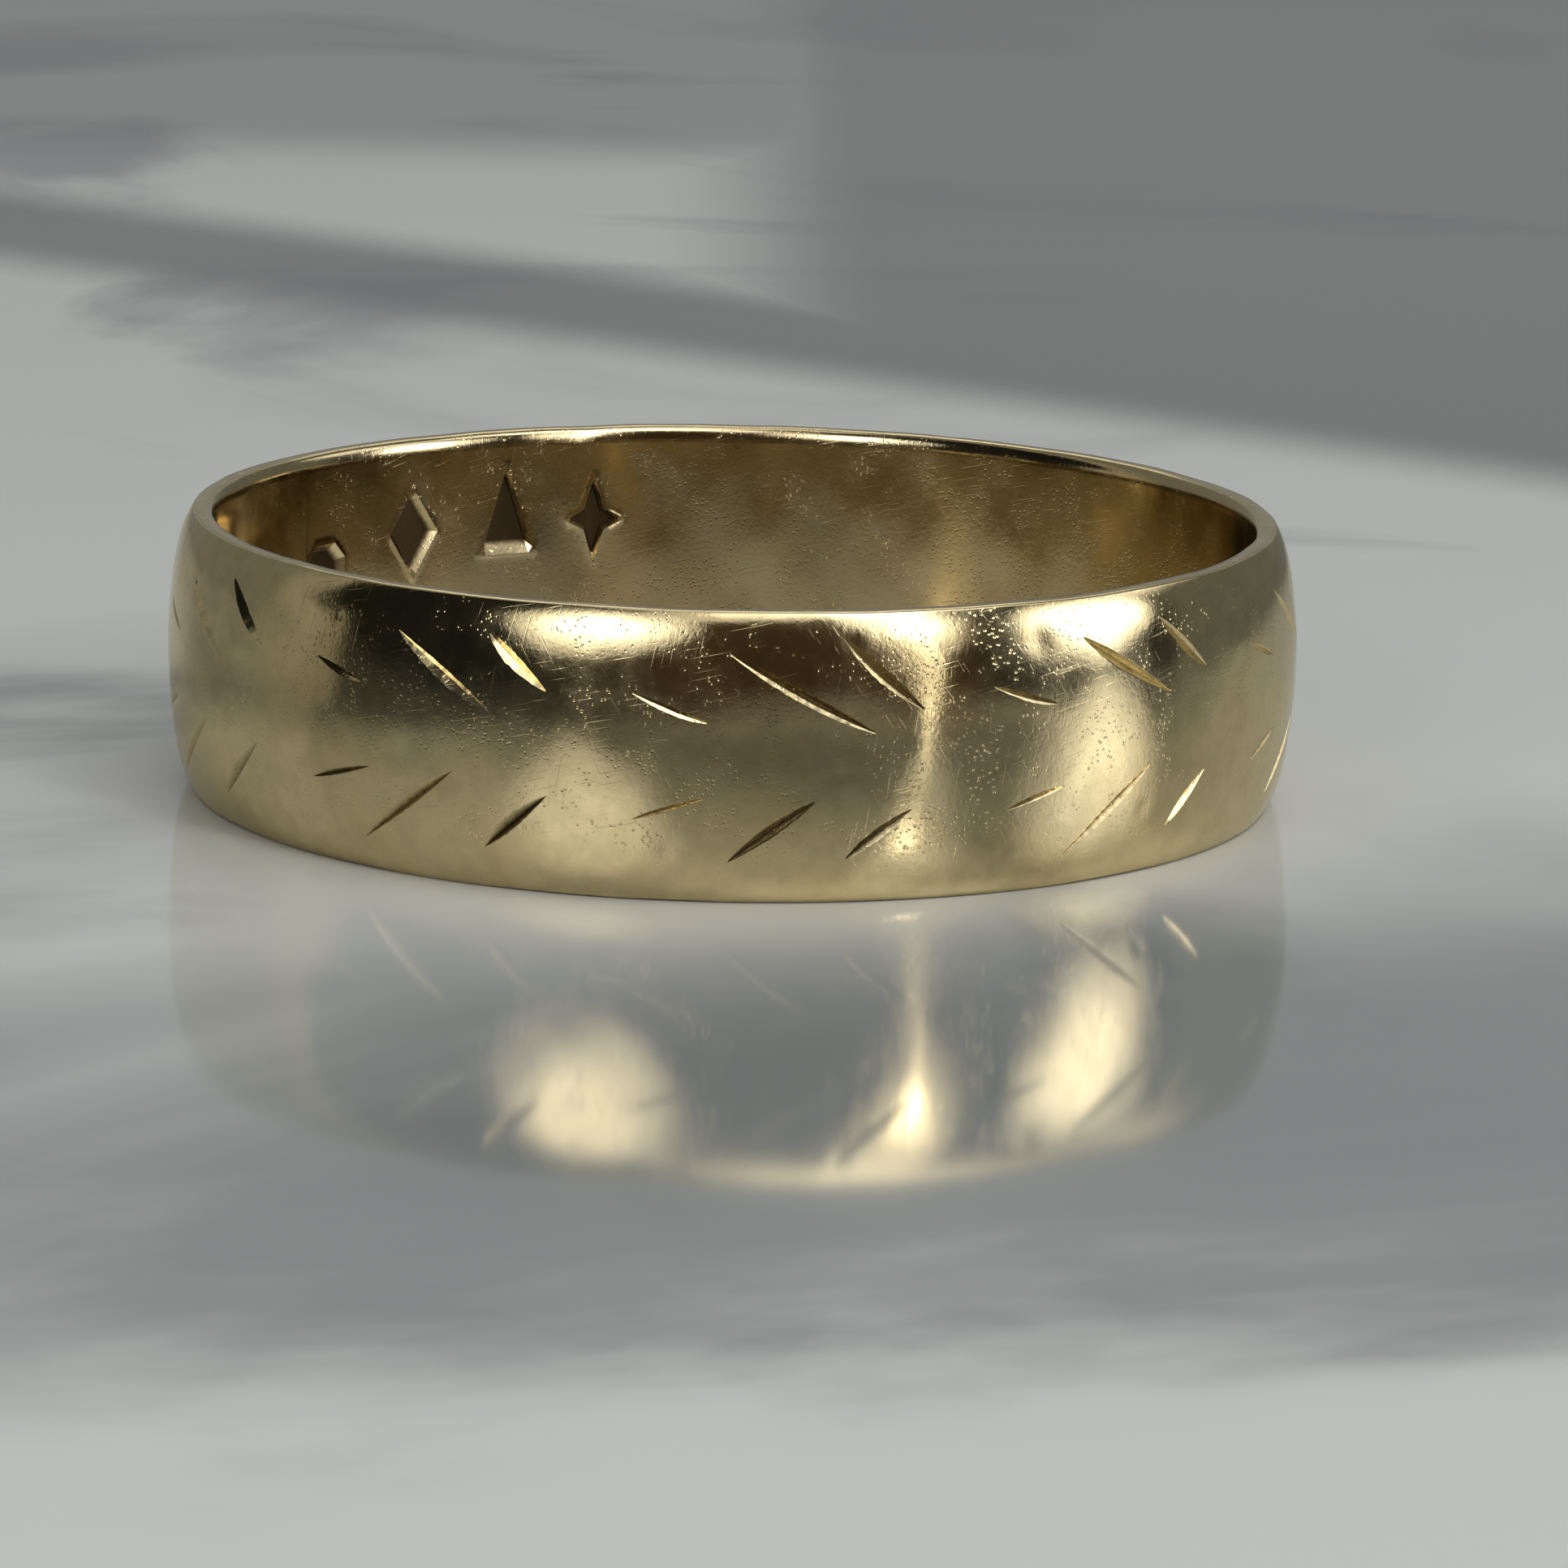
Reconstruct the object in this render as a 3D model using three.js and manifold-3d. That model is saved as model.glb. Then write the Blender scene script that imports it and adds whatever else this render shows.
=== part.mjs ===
// A domed gold wedding band with bright-cut slashes along both edges.
//
// The band is one piece of metal, so the model is one solid: a turned ring with a plain bore,
// a rounded inner edge, a narrow flat rim on each side and a low dome outside. A graver has cut
// two rows of slashes into the dome, and a few plain punches are struck into the bore.
//
// Millimetres and degrees. +Z is the finger axis. The origin is the centre of the lower rim's
// plane, so the band lies on its rim at z = 0. Angles run from the front, -Y, towards +X.

import * as THREE from 'three';
import { mergeVertices } from 'three/addons/utils/BufferGeometryUtils.js';
import Module from 'manifold-3d';

// ---- Driving dimensions ----

// The ring.
const BORE_DIAMETER = 18.8; // finger size: 59 mm round the inside
const WALL_AT_CROWN = 0.85; // bore to the top of the dome
const BAND_WIDTH = 5.0; // rim to rim
const DOME_DROP = 0.30; // fall of the broad dome from the crown to the rim
const SHOULDER_DROP = 0.13; // further fall where the dome rolls over into the rim
const SHOULDER_POWER = 8; // how late that roll-over starts
const INNER_ROUND_DEPTH = 0.27; // height of the rounded inner edge, along the axis
const INNER_ROUND_WIDTH = 0.14; // width of the rounded inner edge, across the wall

// The slashes. Each motif holds three in a row along each edge, and they lean towards the
// middle of the band as they go round. angle is from the start of the motif to the middle of
// the slash, inset is from the rim to the same point, and depth is the greatest depth.
const MOTIF_COUNT = 10;
const FIRST_MOTIF_ANGLE = -5; // where the short slashes of the first motif sit
const GRAVER_ANGLE = 90; // included angle of the graver's point
const UPPER_CUTS = {
	short: { angle: -1, inset: 1.56, length: 1.3, slope: 18, depth: 0.06 },
	long: { angle: 11.5, inset: 1.28, length: 2.6, slope: 31, depth: 0.12 },
	middle: { angle: 20, inset: 1.0, length: 1.8, slope: 39, depth: 0.12 }
};
const LOWER_CUTS = {
	short: { angle: -0.5, inset: 1.73, length: 1.3, slope: 18, depth: 0.06 },
	long: { angle: 8.5, inset: 1.27, length: 2.2, slope: 38, depth: 0.1 },
	middle: { angle: 20, inset: 1.25, length: 1.65, slope: 40, depth: 0.1 }
};

// The punches struck into the bore: plain shapes, with no lettering.
const PUNCH_DEPTH = 0.14;
const PUNCH_HEIGHT = 1.75;
const PUNCH_WIDTH = 1.15;
const PUNCH_CORNER = 0.3; // corners cut off the block punch
const PUNCH_WAIST = 0.2; // inner radius of the star punch
// lift is the height of a punch's centre above the middle of the bore.
const PUNCHES = [
	{ shape: 'star', angle: 197, lift: 0.72 },
	{ shape: 'triangle', angle: 208, lift: 1.0 },
	{ shape: 'lozenge', angle: 221, lift: 0.7 },
	{ shape: 'block', angle: 235.5, lift: 0.2 }
];

// ---- Fineness of the facets ----

const RING_SEGMENTS = 100;
const DOME_ROWS = [ 0, 0.35, 0.6, 0.78, 0.89, 0.96, 1 ]; // shares of the half width
const ROUND_ROWS = 3;
const CUT_STATIONS = 6;
const CUT_CLEARANCE = 0.15; // how far a cutter stands above the metal
const CUT_LIFT = 0.02; // how far a slash's tips rise out of the metal

// ---- Sizes that follow ----

const boreRadius = BORE_DIAMETER / 2;
const crownRadius = boreRadius + WALL_AT_CROWN;
const halfWidth = BAND_WIDTH / 2;

const radians = THREE.MathUtils.degToRad;

// ---- The outside curve ----

// Radius of the dome at a height above the middle of the band.
function domeRadius( height ) {

	const share = Math.abs( height ) / halfWidth;
	return crownRadius - DOME_DROP * share ** 2 - SHOULDER_DROP * share ** SHOULDER_POWER;

}

// Slope of that curve: change of radius per millimetre of height.
function domeSlope( height ) {

	const share = Math.abs( height ) / halfWidth;
	const fall = 2 * DOME_DROP * share + SHOULDER_POWER * SHOULDER_DROP * share ** ( SHOULDER_POWER - 1 );
	return - Math.sign( height ) * fall / halfWidth;

}

// A point on the dome and the direction straight out of the metal there.
function domePoint( angle, height ) {

	const outward = new THREE.Vector3( Math.sin( angle ), - Math.cos( angle ), 0 );
	const point = outward.clone().multiplyScalar( domeRadius( height ) );
	point.z = halfWidth + height;
	const normal = outward.clone().setZ( - domeSlope( height ) ).normalize();
	return { point, normal };

}

// ---- Between three.js geometry and solids ----

const wasm = await Module();
wasm.setup();

function toSolid( geometry ) {

	const bare = new THREE.BufferGeometry();
	bare.setAttribute( 'position', geometry.getAttribute( 'position' ) );
	bare.setIndex( geometry.getIndex() );
	const merged = mergeVertices( bare, 1e-4 );
	return new wasm.Manifold( new wasm.Mesh( {
		numProp: 3,
		vertProperties: merged.getAttribute( 'position' ).array,
		triVerts: new Uint32Array( merged.getIndex().array )
	} ) );

}

function toGeometry( solid ) {

	const mesh = solid.getMesh();
	const geometry = new THREE.BufferGeometry();
	geometry.setAttribute( 'position', new THREE.BufferAttribute( mesh.vertProperties, 3 ) );
	geometry.setIndex( new THREE.BufferAttribute( mesh.triVerts, 1 ) );
	geometry.computeVertexNormals();
	return geometry;

}

// ---- The turned blank ----

// One rounded inner edge, from the bore to the rim, as radius and height above the middle.
function innerEdge() {

	const points = [];
	for ( let i = 0; i <= ROUND_ROWS; i ++ ) {

		const turn = Math.PI / 2 * i / ROUND_ROWS;
		const radius = boreRadius + INNER_ROUND_WIDTH * ( 1 - Math.cos( turn ) );
		const height = halfWidth - INNER_ROUND_DEPTH * ( 1 - Math.sin( turn ) );
		points.push( new THREE.Vector2( radius, height ) );

	}

	return points;

}

// The closed section of the band. It runs up the bore, over the upper rim, and down the dome.
function bandSection() {

	const upperEdge = innerEdge();
	const lowerEdge = innerEdge().reverse().map( ( p ) => new THREE.Vector2( p.x, - p.y ) );
	const heights = [ ...DOME_ROWS ].reverse().map( ( share ) => share * halfWidth );
	heights.push( ...DOME_ROWS.slice( 1 ).map( ( share ) => - share * halfWidth ) );
	const dome = heights.map( ( height ) => new THREE.Vector2( domeRadius( height ), height ) );
	const section = [ ...lowerEdge, ...upperEdge, ...dome, lowerEdge[ 0 ].clone() ];
	return section.map( ( p ) => new THREE.Vector2( p.x, p.y + halfWidth ) );

}

// LatheGeometry turns its section about Y, so it is stood up to turn about Z.
function turnedBlank() {

	const section = bandSection().reverse();
	const geometry = new THREE.LatheGeometry( section, RING_SEGMENTS );
	geometry.rotateX( Math.PI / 2 );
	return toSolid( geometry );

}

// ---- The slashes ----

// The metal one stroke of the graver takes away: a V that follows the dome, deepest at the
// middle of the stroke. side is 1 for the upper edge of the band and -1 for the lower edge.
function graverStroke( cut, side, motifAngle ) {

	const centreAngle = radians( motifAngle + cut.angle );
	const centreHeight = halfWidth - cut.inset;
	const flare = Math.tan( radians( GRAVER_ANGLE / 2 ) );
	const vertices = [];
	for ( let i = 0; i <= CUT_STATIONS; i ++ ) {

		const share = 2 * i / CUT_STATIONS - 1;
		const along = share * cut.length / 2;
		const angle = centreAngle + along * Math.cos( radians( cut.slope ) ) / crownRadius;
		const height = side * ( centreHeight - along * Math.sin( radians( cut.slope ) ) );
		const { point, normal } = domePoint( angle, height );
		const round = new THREE.Vector3( Math.cos( angle ), Math.sin( angle ), 0 );
		const up = new THREE.Vector3().crossVectors( normal, round );
		const forward = round.multiplyScalar( Math.cos( radians( cut.slope ) ) );
		forward.addScaledVector( up, - side * Math.sin( radians( cut.slope ) ) );
		const across = new THREE.Vector3().crossVectors( normal, forward );
		const depth = ( cut.depth + CUT_LIFT ) * ( 1 - share ** 2 ) - CUT_LIFT;
		const reach = ( CUT_CLEARANCE + depth ) * flare;
		const top = point.clone().addScaledVector( normal, CUT_CLEARANCE );
		vertices.push( point.clone().addScaledVector( normal, - depth ) );
		vertices.push( top.clone().addScaledVector( across, reach ) );
		vertices.push( top.clone().addScaledVector( across, - reach ) );

	}

	const last = 3 * CUT_STATIONS;
	const faces = [ 0, 2, 1, last, last + 1, last + 2 ];
	for ( let base = 0; base < last; base += 3 ) {

		for ( const [ a, b ] of [ [ 0, 2 ], [ 2, 1 ], [ 1, 0 ] ] ) {

			faces.push( base + a, base + 3 + b, base + b );
			faces.push( base + a, base + 3 + a, base + 3 + b );

		}

	}

	const geometry = new THREE.BufferGeometry().setFromPoints( vertices );
	geometry.setIndex( faces );
	return toSolid( geometry );

}

function slashes() {

	const strokes = [];
	for ( let motif = 0; motif < MOTIF_COUNT; motif ++ ) {

		const motifAngle = FIRST_MOTIF_ANGLE + motif * 360 / MOTIF_COUNT;
		for ( const cut of Object.values( UPPER_CUTS ) ) strokes.push( graverStroke( cut, 1, motifAngle ) );
		for ( const cut of Object.values( LOWER_CUTS ) ) strokes.push( graverStroke( cut, - 1, motifAngle ) );

	}

	return strokes;

}

// ---- The punches ----

// Corner points of each punch's face, measured from its centre.
function punchOutline( shape ) {

	const w = PUNCH_WIDTH / 2;
	const h = PUNCH_HEIGHT / 2;
	const c = PUNCH_CORNER;
	const s = PUNCH_WAIST;
	const outlines = {
		lozenge: [ [ 0, - h ], [ w, 0 ], [ 0, h ], [ - w, 0 ] ],
		triangle: [ [ - w, - h ], [ w, - h ], [ 0, h ] ],
		star: [ [ 0, - h ], [ s, - s ], [ w, 0 ], [ s, s ], [ 0, h ], [ - s, s ], [ - w, 0 ], [ - s, - s ] ],
		block: [
			[ - w + c, - h + c ], [ w - c, - h + c ], [ w, - h + 2 * c ], [ w, h - 2 * c ],
			[ w - c, h - c ], [ - w + c, h - c ], [ - w, h - 2 * c ], [ - w, - h + 2 * c ]
		]
	};
	return outlines[ shape ].map( ( [ x, y ] ) => new THREE.Vector2( x, y ) );

}

// The metal a punch pushes in, as a prism that starts in the open bore.
function punchMark( { shape, angle, lift } ) {

	const length = WALL_AT_CROWN + PUNCH_DEPTH;
	const geometry = new THREE.ExtrudeGeometry( new THREE.Shape( punchOutline( shape ) ), {
		depth: length,
		bevelEnabled: false
	} );
	geometry.rotateX( Math.PI / 2 ); // the prism now runs along -Y and its face stands upright
	geometry.translate( 0, - ( boreRadius + PUNCH_DEPTH - length ), halfWidth + lift );
	geometry.rotateZ( radians( angle ) );
	return toSolid( geometry );

}

// ---- The finished band ----

const gold = new THREE.MeshStandardMaterial( { color: 0xd2b26e, roughness: 0.22, metalness: 1.0 } );

let bandSolid = turnedBlank();
const cutters = [ ...slashes(), ...PUNCHES.map( punchMark ) ];
for ( const cutter of cutters ) bandSolid = bandSolid.subtract( cutter );

const band = new THREE.Mesh( toGeometry( bandSolid ), gold );
band.name = 'band';

const ring = new THREE.Group();
ring.add( band );

export default ring;
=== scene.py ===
"""A worn yellow-gold wedding band on a marble slab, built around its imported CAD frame.

The band is one piece of metal, so one fine mesh stands for its CAD node. It keeps the CAD's
section, slashes and punches. The facets are gone, and it has the small irregularities of a ring
that was cut by hand and then worn: ragged strokes, soft waves and dings.

Lengths are in millimetres and angles in degrees unless a name or a comment says otherwise.
Angles run from the front, -Y, towards +X, as in the CAD.
"""

import math
import random

import bpy
import numpy as np
from mathutils import Matrix, Vector
from mathutils.geometry import delaunay_2d_cdt


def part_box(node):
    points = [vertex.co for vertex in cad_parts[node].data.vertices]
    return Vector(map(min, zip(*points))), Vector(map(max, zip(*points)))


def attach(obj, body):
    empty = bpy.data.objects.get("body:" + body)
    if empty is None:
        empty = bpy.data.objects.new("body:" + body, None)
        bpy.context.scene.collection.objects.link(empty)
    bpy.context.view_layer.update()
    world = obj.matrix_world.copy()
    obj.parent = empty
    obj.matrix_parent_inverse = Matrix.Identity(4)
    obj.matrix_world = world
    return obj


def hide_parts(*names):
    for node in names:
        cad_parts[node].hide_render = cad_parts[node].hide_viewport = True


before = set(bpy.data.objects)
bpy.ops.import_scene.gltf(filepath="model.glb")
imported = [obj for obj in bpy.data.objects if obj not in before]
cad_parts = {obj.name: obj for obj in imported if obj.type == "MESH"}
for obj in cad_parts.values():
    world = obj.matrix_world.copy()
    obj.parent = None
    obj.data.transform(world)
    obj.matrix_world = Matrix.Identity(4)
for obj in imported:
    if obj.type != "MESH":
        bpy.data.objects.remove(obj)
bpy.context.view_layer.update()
band_low, band_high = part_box("band")
scene = bpy.context.scene

MM = 0.001  # metres in a millimetre

# ---- The band's sizes: the outside comes from the frame, the rest is as in the CAD ----

CROWN_RADIUS = (band_high.x - band_low.x) / 2 / MM
WIDTH = (band_high.z - band_low.z) / MM
HALF_WIDTH = WIDTH / 2
WALL_AT_CROWN = 0.85
BORE_RADIUS = CROWN_RADIUS - WALL_AT_CROWN
DOME_DROP = 0.30
SHOULDER_DROP = 0.13
SHOULDER_POWER = 8
INNER_ROUND_DEPTH = 0.27
INNER_ROUND_WIDTH = 0.14
CORNER_RADIUS = 0.05  # wear on the corner between the rim and the dome
RIM_CROWNING = 22  # degrees by which each side of the rim has worn away from flat
SECTION_STEPS = dict(bore=60, edge=60, rim=40, corner=30, dome=600)  # points in half a section

MOTIF_COUNT = 10
FIRST_MOTIF_ANGLE = -5
GRAVER_ANGLE = 90
UPPER_CUTS = {
    "short": dict(angle=-1, inset=1.56, length=1.3, slope=18, depth=0.06),
    "long": dict(angle=11.5, inset=1.28, length=2.6, slope=31, depth=0.12),
    "middle": dict(angle=20, inset=1.0, length=1.8, slope=39, depth=0.12),
}
LOWER_CUTS = {
    "short": dict(angle=-0.5, inset=1.73, length=1.3, slope=18, depth=0.06),
    "long": dict(angle=8.5, inset=1.27, length=2.2, slope=38, depth=0.1),
    "middle": dict(angle=20, inset=1.25, length=1.65, slope=40, depth=0.1),
}

PUNCH_DEPTH = 0.14
PUNCH_HEIGHT = 1.75
PUNCH_WIDTH = 1.15
PUNCH_CORNER = 0.3
PUNCH_WAIST = 0.2
PUNCHES = [  # shape, angle, and height of the centre above the middle of the bore
    ("star", 197, 0.72),
    ("triangle", 208, 1.0),
    ("lozenge", 221, 0.7),
    ("block", 235.5, 0.2),
]

rng = random.Random(5)


# ---- The camera ----

CAMERA_ELEVATION = 11.04
CAMERA_DISTANCE = 130.0
CAMERA_LENS = 163.7  # on a 36 mm sensor
CAMERA_PAN = -0.4135
CAMERA_TILT = -1.103
CAMERA_ROLL = 1.12


def make_camera():
    """Looks at the front of the band from a little above. The band is left of and above centre."""
    camera = bpy.data.objects.new("camera", bpy.data.cameras.new("camera"))
    scene.collection.objects.link(camera)
    camera.data.lens = CAMERA_LENS
    camera.data.sensor_width = 36
    camera.data.clip_start = 0.005
    camera.data.clip_end = 20
    elevation = math.radians(CAMERA_ELEVATION)
    away = Vector((0, -math.cos(elevation), math.sin(elevation)))
    middle = Vector((0, 0, HALF_WIDTH)) * MM
    place = Matrix.Translation(middle + away * CAMERA_DISTANCE * MM)
    level = Matrix.Rotation(math.pi / 2 - elevation, 4, "X")
    roll = Matrix.Rotation(math.radians(CAMERA_ROLL), 4, "Z")
    tilt = Matrix.Rotation(math.radians(CAMERA_TILT), 4, "X")
    pan = Matrix.Rotation(math.radians(CAMERA_PAN), 4, "Y")
    camera.matrix_world = place @ level @ roll @ tilt @ pan
    scene.camera = camera


make_camera()


# ---- The section of the band ----


def dome_radius(height):
    """Radius of the dome at a height above the middle of the band."""
    share = np.abs(height) / HALF_WIDTH
    return CROWN_RADIUS - DOME_DROP * share**2 - SHOULDER_DROP * share**SHOULDER_POWER


def dome_tilt(height):
    """How far the dome's normal there leans up from level, in radians."""
    share = np.abs(height) / HALF_WIDTH
    fall = 2 * DOME_DROP * share
    fall = fall + SHOULDER_POWER * SHOULDER_DROP * share ** (SHOULDER_POWER - 1)
    return np.sign(height) * np.arctan(fall / HALF_WIDTH)


def half_section():
    """The upper half, from the middle of the bore over the rim to the crown of the dome.

    Each row holds radius, height above the middle, and the lean of the normal: pi along the
    bore, a quarter turn on the rim and 0 at the crown.
    """
    bore_top = HALF_WIDTH - INNER_ROUND_DEPTH
    bore_heights = np.linspace(0, bore_top, SECTION_STEPS["bore"])
    bore = [(BORE_RADIUS, height, math.pi) for height in bore_heights]

    edge = []
    for turn in np.linspace(0, math.pi / 2, SECTION_STEPS["edge"])[1:]:
        radius = BORE_RADIUS + INNER_ROUND_WIDTH * (1 - math.cos(turn))
        height = bore_top + INNER_ROUND_DEPTH * math.sin(turn)
        across = math.cos(turn) / INNER_ROUND_WIDTH
        along = math.sin(turn) / INNER_ROUND_DEPTH
        edge.append((radius, height, math.atan2(along, -across)))

    touch = HALF_WIDTH
    for _ in range(8):
        lean = float(dome_tilt(touch))
        touch = HALF_WIDTH - CORNER_RADIUS * (1 - math.sin(lean))
    centre_radius = float(dome_radius(touch)) - CORNER_RADIUS * math.cos(lean)
    centre_height = HALF_WIDTH - CORNER_RADIUS

    rim = []
    rim_start = BORE_RADIUS + INNER_ROUND_WIDTH
    for share in np.linspace(-1, 1, SECTION_STEPS["rim"])[1:]:
        radius = rim_start + (centre_radius - rim_start) * (share + 1) / 2
        rim.append((radius, HALF_WIDTH, math.pi / 2 - math.radians(RIM_CROWNING) * share))

    corner = []
    for turn in np.linspace(math.pi / 2, lean, SECTION_STEPS["corner"])[1:]:
        radius = centre_radius + CORNER_RADIUS * math.cos(turn)
        height = centre_height + CORNER_RADIUS * math.sin(turn)
        corner.append((radius, height, turn))

    dome = [
        (float(dome_radius(height)), height, float(dome_tilt(height)))
        for height in np.linspace(touch, 0, SECTION_STEPS["dome"])[1:]
    ]
    return np.array(bore + edge + rim + corner + dome)


def section_table():
    """The whole closed section: distance along it, radius, height above the lower rim, and lean.

    It starts on the lower rim and goes up the bore, over the upper rim and down the dome.
    """
    upper = half_section()
    lower = upper[::-1][1:-1] * (1, -1, -1)
    rows = np.concatenate([upper, lower])
    on_lower_rim = np.argmin(np.abs(rows[:, 2] + math.pi / 2))
    rows = np.roll(rows, -on_lower_rim, 0)
    rows = np.concatenate([rows, rows[:1]])
    steps = np.hypot(np.diff(rows[:, 0]), np.diff(rows[:, 1]))
    along = np.concatenate([[0], np.cumsum(steps)])
    return along, rows[:, 0], rows[:, 1] + HALF_WIDTH, np.unwrap(rows[:, 2])


ALONG, RADIUS, HEIGHT, LEAN = section_table()
SECTION_LENGTH = ALONG[-1]
ON_DOME = np.cos(LEAN) > 0.6
IN_BORE = np.cos(LEAN) < -0.999


def along_at(height, zone):
    """Distance along the section of a height above the lower rim, in ON_DOME or IN_BORE."""
    heights, alongs = HEIGHT[zone], ALONG[zone]
    order = np.argsort(heights)
    return float(np.interp(height, heights[order], alongs[order]))


def surface(theta, along, rise=0.0):
    """Points, normals, and the directions round the band and along its section.

    theta is in radians, along is the distance along the section, and rise is height above it.
    """
    radius = np.interp(along, ALONG, RADIUS)
    height = np.interp(along, ALONG, HEIGHT)
    lean = np.interp(along, ALONG, LEAN)
    out = np.stack([np.sin(theta), -np.cos(theta), 0 * theta], -1)
    around = np.stack([np.cos(theta), np.sin(theta), 0 * theta], -1)
    up = np.array([0.0, 0.0, 1.0])
    normal = out * np.cos(lean)[:, None] + up * np.sin(lean)[:, None]
    down = out * np.sin(lean)[:, None] - up * np.cos(lean)[:, None]
    point = out * radius[:, None] + up * height[:, None]
    return point + normal * np.reshape(rise, (-1, 1)), normal, around, down


# ---- The grid that the surface is drawn on ----

COLUMNS = 640
SECTORS = MOTIF_COUNT
SECTOR_COLUMNS = COLUMNS // SECTORS
SECTOR_START = FIRST_MOTIF_ANGLE - 8.2  # between one motif's last slash and the next one's first
COLUMN_ANGLE = 2 * math.pi / COLUMNS
COLUMN_STEP = COLUMN_ANGLE * CROWN_RADIUS


def theta_of(column):
    return math.radians(SECTOR_START) + column * COLUMN_ANGLE


def column_of(angle):
    """Column of an angle in degrees, from 0 to COLUMNS."""
    return (math.radians(angle - SECTOR_START) / COLUMN_ANGLE) % COLUMNS


# ---- The slashes ----

STATION_STEP = 0.065  # between points along a slash
ANGLE_JITTER = 0.6
INSET_JITTER = 0.07
SLOPE_JITTER = 3
LENGTH_JITTER = 0.16  # share of the length
DEPTH_JITTER = 0.15  # share of the depth
RAGGEDNESS = 0.08  # share of the width
KEEL_RAGGEDNESS = 0.03  # share of the depth
SWELL = 0.25  # how much deeper one end of a stroke can be than a plain arc
BALANCE = (0.25, 0.5)  # how much wider the V is cut on the side next to the band's middle
EDGE_SOFTNESS = 0.12  # how far the cut faces' normals turn back to the dome's at the edge
UPPER_DIRT_AND_SHADE = (0.0, 0.2)  # how dark with dirt and painted shade the slashes are, in the upper row and the lower one
LOWER_DIRT_AND_SHADE = (0.55, 0.95)


class Slash:
    """One stroke of the graver: a V that is deepest at its middle, with ragged sides.

    x is round the band and y along the section, both in millimetres. The stroke's own axes
    are a, along it, and b, across it. At each a the keel is at b = 0 and lies drop deep, and
    the sides reach the surface at low_b and high_b.
    """

    def __init__(self, cut, side, motif):
        angle = FIRST_MOTIF_ANGLE + motif * 360 / MOTIF_COUNT + cut["angle"]
        angle += rng.uniform(-ANGLE_JITTER, ANGLE_JITTER)
        inset = cut["inset"] + rng.uniform(-INSET_JITTER, INSET_JITTER)
        slope = math.radians(cut["slope"] + rng.uniform(-SLOPE_JITTER, SLOPE_JITTER))
        self.length = cut["length"] * (1 + rng.uniform(-LENGTH_JITTER, LENGTH_JITTER))
        self.depth = cut["depth"] * (1 + rng.uniform(-DEPTH_JITTER, DEPTH_JITTER))
        # Dirt and painted shade in this slash, much darker in the lower row
        self.dirt_and_shade = rng.uniform(*(UPPER_DIRT_AND_SHADE if side > 0 else LOWER_DIRT_AND_SHADE))
        self.column = column_of(angle)
        height = WIDTH - inset if side > 0 else inset
        self.x = self.column * COLUMN_STEP
        self.y = along_at(height, ON_DOME)
        self.cos = math.cos(slope)
        self.sin = side * math.sin(slope)
        self.make_stations()

    def make_stations(self):
        count = max(8, round(self.length / STATION_STEP))
        share = np.linspace(-1, 1, count + 1)
        ragged = [np.array([rng.uniform(-1, 1) for _ in share]) for _ in range(3)]
        swell = 1 + SWELL * math.sin(rng.uniform(0, 6.28)) * share
        self.a = share * self.length / 2
        self.drop = self.depth * (1 - share**2) * swell * (1 + KEEL_RAGGEDNESS * ragged[0])
        half_width = self.drop * math.tan(math.radians(GRAVER_ANGLE / 2))
        balance = rng.uniform(*BALANCE) * (1 if self.sin < 0 else -1)
        self.low_b = -half_width * (1 + balance) * (1 + RAGGEDNESS * ragged[1])
        self.high_b = half_width * (1 - balance) * (1 + RAGGEDNESS * ragged[2])
        for row in (self.drop, self.low_b, self.high_b):
            row[[0, -1]] = 0

    def to_xy(self, a, b):
        return self.x + a * self.cos - b * self.sin, self.y + a * self.sin + b * self.cos

    def to_ab(self, x, y):
        dx, dy = x - self.x, y - self.y
        return dx * self.cos + dy * self.sin, dy * self.cos - dx * self.sin

    def side_of(self, x, y):
        """-1 or 1 for points on one side of the V or the other, and 0 outside it."""
        a, b = self.to_ab(x, y)
        low = np.interp(a, self.a, self.low_b)
        high = np.interp(a, self.a, self.high_b)
        inside = (np.abs(a) < self.length / 2) & (b > low) & (b < high)
        return np.where(inside, np.where(b > 0, 1, -1), 0)

    def crowds(self, x, y, room):
        """Whether points are in the slash or within room of it."""
        a, b = self.to_ab(x, y)
        low = np.interp(a, self.a, self.low_b) - room
        high = np.interp(a, self.a, self.high_b) + room
        return (np.abs(a) < self.length / 2 + room) & (b > low) & (b < high)


def make_slashes():
    slashes = []
    for motif in range(MOTIF_COUNT):
        for cuts, side in ((UPPER_CUTS, 1), (LOWER_CUTS, -1)):
            slashes += [Slash(cut, side, motif) for cut in cuts.values()]
    return slashes


# ---- The punches in the bore ----

PUNCH_FLOOR_SHARE = 0.72  # size of a punch's floor next to its mouth
PUNCH_LIP_REACH = 0.05
PUNCH_LIP_RISE = 0.012
OUTLINE_STEP = 0.12


def punch_outline(shape):
    """Corners of a punch's face, measured from its centre: round the bore, then up."""
    w, h, c, s = PUNCH_WIDTH / 2, PUNCH_HEIGHT / 2, PUNCH_CORNER, PUNCH_WAIST
    outlines = {
        "lozenge": [(0, -h), (w, 0), (0, h), (-w, 0)],
        "triangle": [(-w, -h), (w, -h), (0, h)],
        "star": [(0, -h), (s, -s), (w, 0), (s, s), (0, h), (-s, s), (-w, 0), (-s, -s)],
        "block": [
            (-w + c, -h + c),
            (w - c, -h + c),
            (w, -h + 2 * c),
            (w, h - 2 * c),
            (w - c, h - c),
            (-w + c, h - c),
            (-w, h - 2 * c),
            (-w, -h + 2 * c),
        ],
    }
    return np.array(outlines[shape])


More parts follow.
